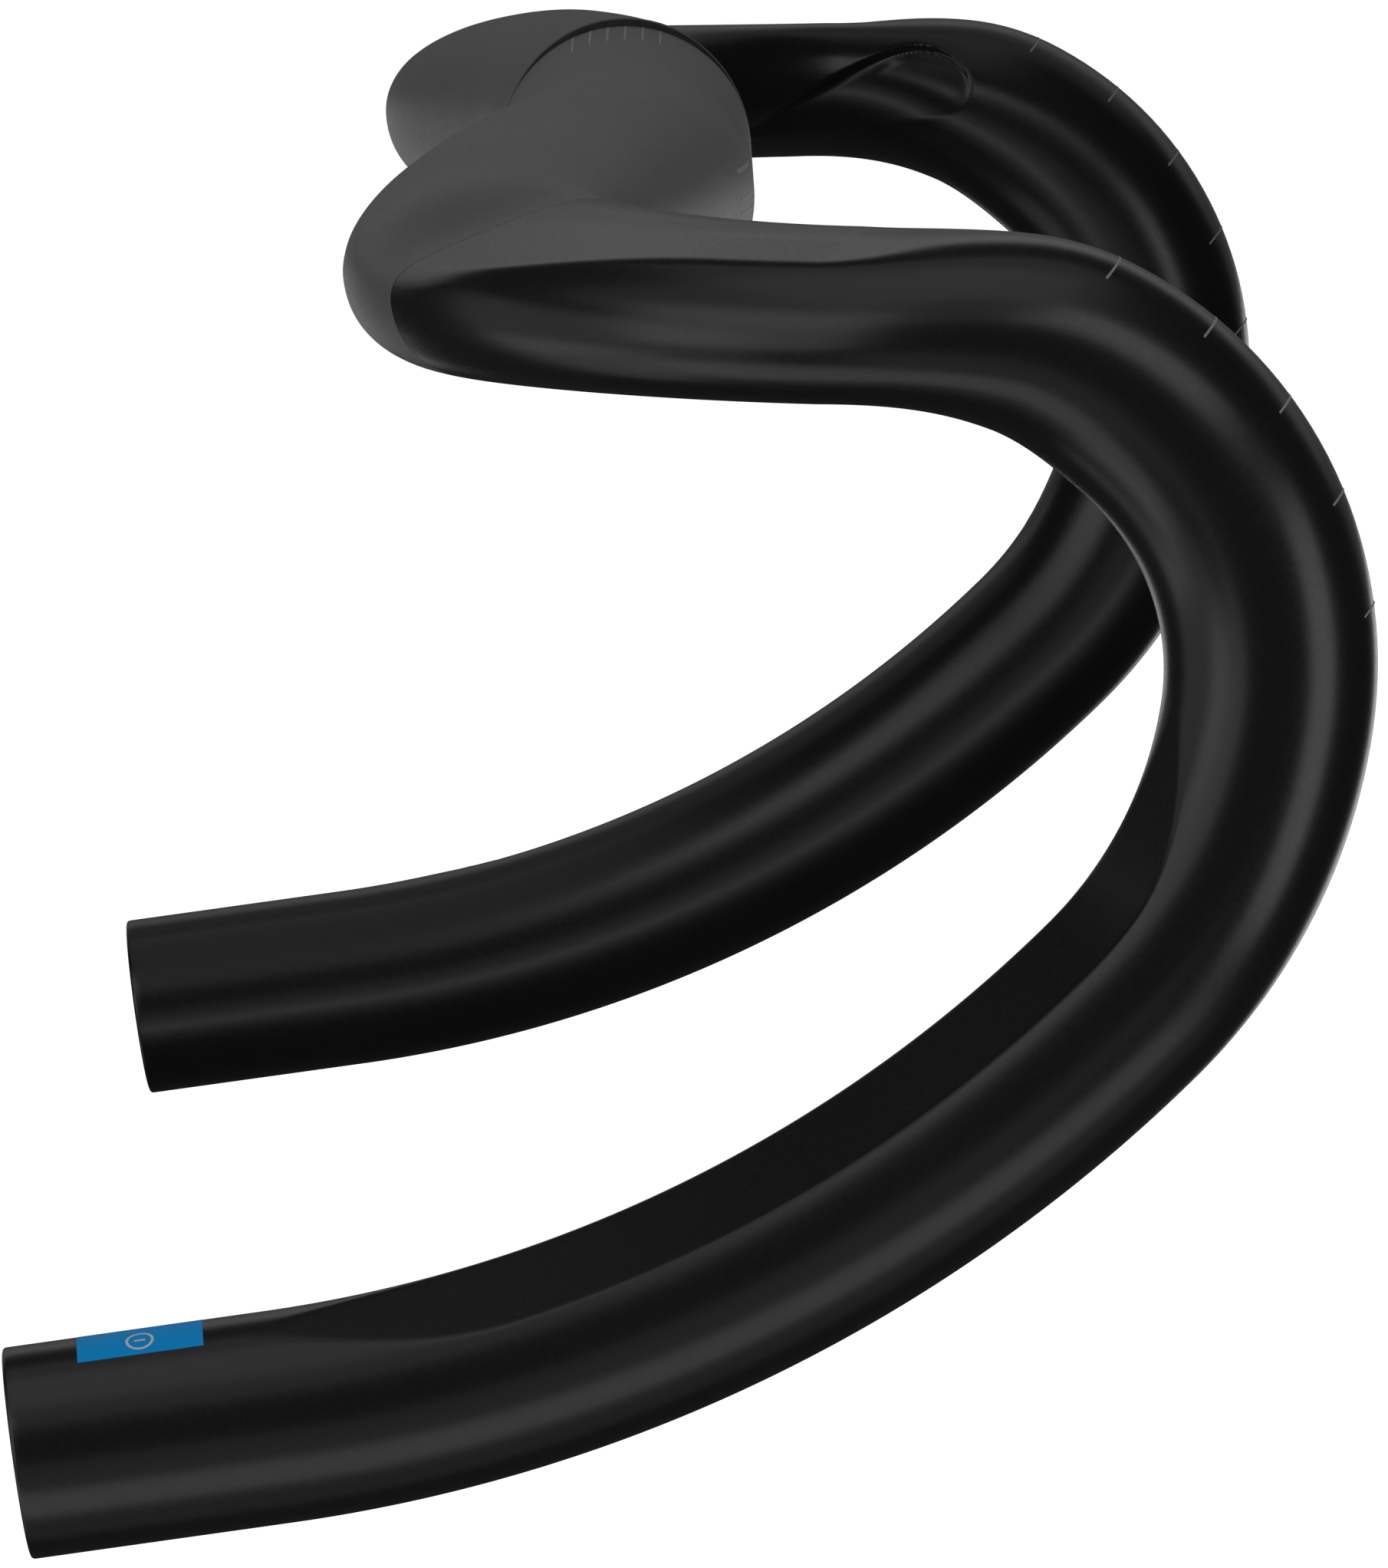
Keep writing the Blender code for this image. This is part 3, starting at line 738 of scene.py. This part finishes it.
def noise(nodes, links, coordinates, scale, detail=3.0, roughness=0.55):
    made = nodes.new("ShaderNodeTexNoise")
    made.inputs["Scale"].default_value = scale
    made.inputs["Detail"].default_value = detail
    made.inputs["Roughness"].default_value = roughness
    links.new(coordinates, made.inputs["Vector"])
    return made.outputs["Fac"]


def mapped(nodes, links, value, low, high, from_low=0.3, from_high=0.7):
    made = nodes.new("ShaderNodeMapRange")
    made.inputs["From Min"].default_value = from_low
    made.inputs["From Max"].default_value = from_high
    made.inputs["To Min"].default_value = low
    made.inputs["To Max"].default_value = high
    links.new(value, made.inputs["Value"])
    return made.outputs["Result"]


def two_colours(nodes, links, value, first, second):
    made = nodes.new("ShaderNodeMix")
    made.data_type = "RGBA"
    made.inputs[6].default_value = (*first, 1.0)
    made.inputs[7].default_value = (*second, 1.0)
    links.new(value, made.inputs[0])
    return made.outputs[2]


def bumped(nodes, links, value, distance, strength):
    made = nodes.new("ShaderNodeBump")
    made.inputs["Distance"].default_value = distance
    made.inputs["Strength"].default_value = strength
    links.new(value, made.inputs["Height"])
    return made.outputs["Normal"]


def paint(name, dark, light, rough_low, rough_high, grain_scale, grain_height):
    """A sprayed matt finish: fine grain, soft clouding in tone and sheen."""
    made, nodes, links, shader = new_material(name)
    place = nodes.new("ShaderNodeTexCoord").outputs["Object"]
    cloud = noise(nodes, links, place, CLOUD_SCALE, 4.0)
    grain = noise(nodes, links, place, grain_scale, 2.0, 0.6)
    speck = noise(nodes, links, place, grain_scale * SPECK_PER_GRAIN, 2.0, 0.7)
    tone = nodes.new("ShaderNodeMath")
    tone.operation = "MULTIPLY_ADD"
    links.new(grain, tone.inputs[0])
    tone.inputs[1].default_value = GRAIN_TONE
    links.new(mapped(nodes, links, cloud, *CLOUD_TONE), tone.inputs[2])
    links.new(two_colours(nodes, links, tone.outputs[0], dark, light), shader.inputs["Base Color"])
    links.new(mapped(nodes, links, speck, rough_low, rough_high), shader.inputs["Roughness"])
    links.new(bumped(nodes, links, grain, grain_height, GRAIN_BUMP), shader.inputs["Normal"])
    return made


def bare_carbon(name):
    """Woven laminate: two sets of slanted bands over and under each other."""
    made, nodes, links, shader = new_material(name)
    place = nodes.new("ShaderNodeTexCoord").outputs["Object"]
    bands = []
    for turn in WEAVE_TURNS:
        mapping = nodes.new("ShaderNodeMapping")
        mapping.inputs["Rotation"].default_value = (math.radians(turn), math.radians(turn), 0.0)
        links.new(place, mapping.inputs["Vector"])
        wave = nodes.new("ShaderNodeTexWave")
        wave.inputs["Scale"].default_value = WEAVE_SCALE
        wave.inputs["Distortion"].default_value = WEAVE_DISTORTION
        links.new(mapping.outputs["Vector"], wave.inputs["Vector"])
        bands.append(wave.outputs["Fac"])
    weave = nodes.new("ShaderNodeMath")
    weave.operation = "MAXIMUM"
    links.new(bands[0], weave.inputs[0])
    links.new(bands[1], weave.inputs[1])
    height = weave.outputs[0]
    links.new(two_colours(nodes, links, height, *WEAVE_TONES), shader.inputs["Base Color"])
    links.new(mapped(nodes, links, height, *WEAVE_ROUGHNESS, 0.0, 1.0), shader.inputs["Roughness"])
    links.new(bumped(nodes, links, height, WEAVE_HEIGHT, WEAVE_BUMP), shader.inputs["Normal"])
    return made


def ink(name, dark, light):
    """Pad-printed ink, slightly uneven."""
    made, nodes, links, shader = new_material(name)
    place = nodes.new("ShaderNodeTexCoord").outputs["Object"]
    mottle = noise(nodes, links, place, INK_SCALE, 3.0)
    links.new(two_colours(nodes, links, mottle, dark, light), shader.inputs["Base Color"])
    links.new(mapped(nodes, links, mottle, *INK_ROUGHNESS), shader.inputs["Roughness"])
    return made


def label_film(name):
    """Blue printed film with a matt face."""
    made, nodes, links, shader = new_material(name)
    place = nodes.new("ShaderNodeTexCoord").outputs["Object"]
    dots = noise(nodes, links, place, FILM_SCALE, 2.0)
    links.new(two_colours(nodes, links, dots, *FILM_TONES), shader.inputs["Base Color"])
    links.new(mapped(nodes, links, dots, *FILM_ROUGHNESS), shader.inputs["Roughness"])
    shader.inputs["Specular IOR Level"].default_value = FILM_SPECULAR
    return made


def add_card(name, width, height, radiance):
    """A soft light of a size in metres and an even radiance."""
    lamp = bpy.data.lights.new(name, "AREA")
    lamp.shape = "RECTANGLE"
    lamp.size = width
    lamp.size_y = height
    lamp.energy = radiance * math.pi * width * height
    card = bpy.data.objects.new(name, lamp)
    card.visible_camera = False
    bpy.context.scene.collection.objects.link(card)
    return card


def add_far_card(name, azimuth, elevation, width, height, radiance):
    """A card on a wide sphere round the bar, facing its middle."""
    around, above = math.radians(azimuth), math.radians(elevation)
    level = math.cos(above)
    away = Vector((math.cos(around) * level, math.sin(around) * level, math.sin(above)))
    wide = 2.0 * FAR_DISTANCE * math.tan(math.radians(width / 2.0))
    tall = 2.0 * FAR_DISTANCE * math.tan(math.radians(height / 2.0))
    card = add_card(name, wide, tall, radiance)
    card.location = FAR_DISTANCE * away + Vector((0.0, 0.0, FAR_CENTRE_Z))
    card.rotation_euler = (-away).to_track_quat("-Z", "Y").to_euler()


def add_near_card(name, middle, turns, size, radiance):
    """A card close to the bar, level or upright."""
    card = add_card(name, *size, radiance)
    card.location = middle
    card.rotation_euler = (math.radians(turns[0]), math.radians(turns[1]), 0.0)


def add_studio():
    scene = bpy.context.scene
    scene.view_settings.view_transform = "Standard"
    world = bpy.data.worlds.new("studio")
    world.use_nodes = True
    scene.world = world
    nodes, links = world.node_tree.nodes, world.node_tree.links
    surround = nodes["Background"]
    surround.inputs["Color"].default_value = (1.0, 1.0, 1.0, 1.0)
    surround.inputs["Strength"].default_value = SURROUND
    backdrop = nodes.new("ShaderNodeBackground")
    backdrop.inputs["Strength"].default_value = BACKDROP
    seen = nodes.new("ShaderNodeLightPath")
    pick = nodes.new("ShaderNodeMixShader")
    links.new(seen.outputs["Is Camera Ray"], pick.inputs["Fac"])
    links.new(surround.outputs["Background"], pick.inputs[1])
    links.new(backdrop.outputs["Background"], pick.inputs[2])
    links.new(pick.outputs["Shader"], nodes["World Output"].inputs["Surface"])
    for name, card in FAR_CARDS.items():
        add_far_card(name, *card)
    for name, card in NEAR_CARDS.items():
        add_near_card(name, *card)


def add_floor():
    """A pale floor that the camera sees, and that neither lights nor shades the bar."""
    mesh = bpy.data.meshes.new("floor")
    corners = [(FLOOR_HALF * x, FLOOR_HALF * y, FLOOR_Z) for x, y in ((-1, -1), (1, -1), (1, 1), (-1, 1))]
    mesh.from_pydata(corners, [], [(0, 1, 2, 3)])
    made, nodes, links, shader = new_material("pale_floor")
    place = nodes.new("ShaderNodeTexCoord").outputs["Object"]
    tone = noise(nodes, links, place, FLOOR_TONE_SCALE, 2.0)
    links.new(two_colours(nodes, links, tone, *FLOOR_TONES), shader.inputs["Base Color"])
    shader.inputs["Roughness"].default_value = FLOOR_ROUGHNESS
    shader.inputs["Emission Color"].default_value = (1.0, 1.0, 1.0, 1.0)
    shader.inputs["Emission Strength"].default_value = FLOOR_GLOW
    mesh.materials.append(made)
    floor = bpy.data.objects.new("floor", mesh)
    bpy.context.scene.collection.objects.link(floor)
    floor.visible_diffuse = False
    floor.visible_glossy = False
    floor.visible_shadow = False


def add_camera():
    azimuth, elevation = math.radians(CAMERA_AZIMUTH), math.radians(CAMERA_ELEVATION)
    away = Vector(
        (
            math.sin(azimuth) * math.cos(elevation),
            -math.cos(azimuth) * math.cos(elevation),
            math.sin(elevation),
        )
    )
    data = bpy.data.cameras.new("camera")
    data.lens = CAMERA_LENS
    camera = bpy.data.objects.new("camera", data)
    camera.location = Vector(CAMERA_AIM) + away * CAMERA_DISTANCE
    camera.rotation_euler = (-away).to_track_quat("-Z", "Y").to_euler()
    bpy.context.scene.collection.objects.link(camera)
    bpy.context.scene.camera = camera


def build():
    grey = paint("grey_matt_paint", *GREY_FINISH)
    black = paint("black_satin_finish", *BLACK_FINISH)
    raw = bare_carbon("bare_carbon")
    print_grey = ink("printed_grey", *GREY_INK)
    print_white = ink("printed_white", *WHITE_INK)
    blue = label_film("blue_film")

    pieces = [(clamp_shell([grey, raw]), "clamp_tube", "grey_matt_paint")]
    for side, word in ((1.0, "right"), (-1.0, "left")):
        wing = wing_shell(f"wing_{word}_shell", side, [grey, raw])
        pieces.append((wing, f"wing_{word}", "grey_matt_paint"))
        drop = drop_shell(f"drop_{word}_shell", side, [black, raw])
        pieces.append((drop, f"drop_{word}", "black_satin_finish"))
    pieces.append((label_plate(blue), "label_right", "blue_label_film"))
    for piece, node, slot in pieces:
        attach(piece, "root")
        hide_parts(node)
    marks = clamp_ticks(print_grey)
    marks += lever_ticks(1.0, "right", print_grey)
    marks += lever_ticks(-1.0, "left", print_grey)
    marks += wing_dashes(print_grey) + label_mark(print_white)
    for mark in marks:
        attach(mark, "root")
    for word in ("right", "left"):
        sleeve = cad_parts[f"joint_sleeve_{word}"]
        sleeve.data.materials.clear()
        sleeve.data.materials.append(raw)


build()
add_floor()
add_studio()
add_camera()
